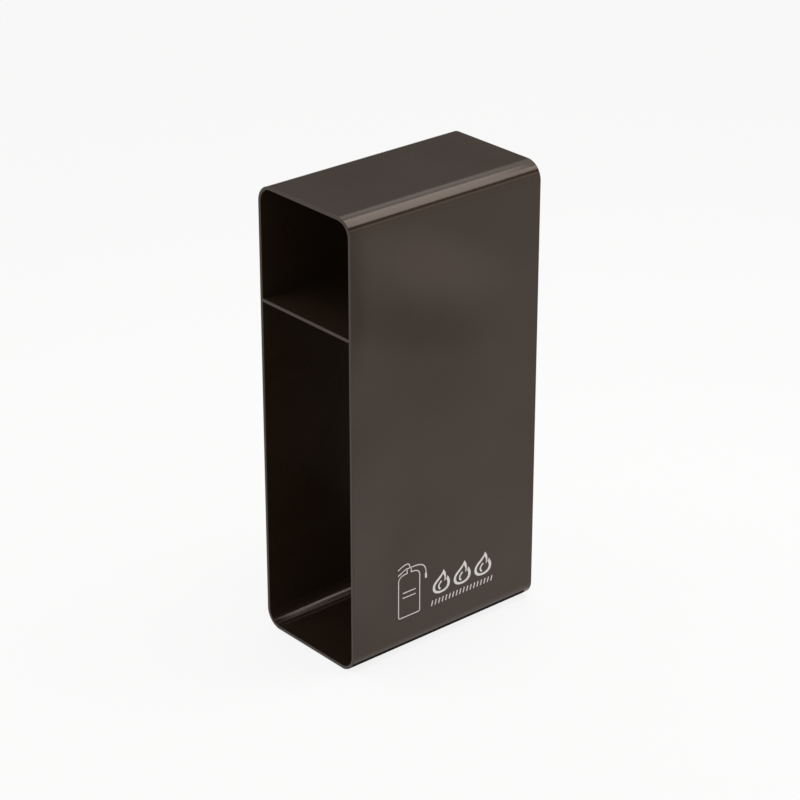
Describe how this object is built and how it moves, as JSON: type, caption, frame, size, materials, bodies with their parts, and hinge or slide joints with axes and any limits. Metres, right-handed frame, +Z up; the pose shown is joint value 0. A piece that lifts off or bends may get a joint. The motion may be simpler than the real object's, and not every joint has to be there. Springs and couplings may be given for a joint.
{
  "type": "fire extinguisher storage box",
  "caption": "Free-standing upright box folded from dark metal sheet, open at both ends, with round bends and a shelf above a tall space for a fire extinguisher.",
  "frame": {"origin": "centre of the base, on the surface that the box stands on", "axes": "+X along the 350 mm depth, from the open end that the picture shows to the far open end; +Y across the 200 mm width, from the printed face at -Y to the rear face; +Z up"},
  "size_m": [0.35, 0.2, 0.7],
  "materials": {
    "sheet": "dark bronze anodised, smooth and glossy",
    "print": "white screen-printed ink, satin"
  },
  "bodies": {
    "root": {"shell": "sheet", "shelf": "sheet"}
  },
  "joints": []
}
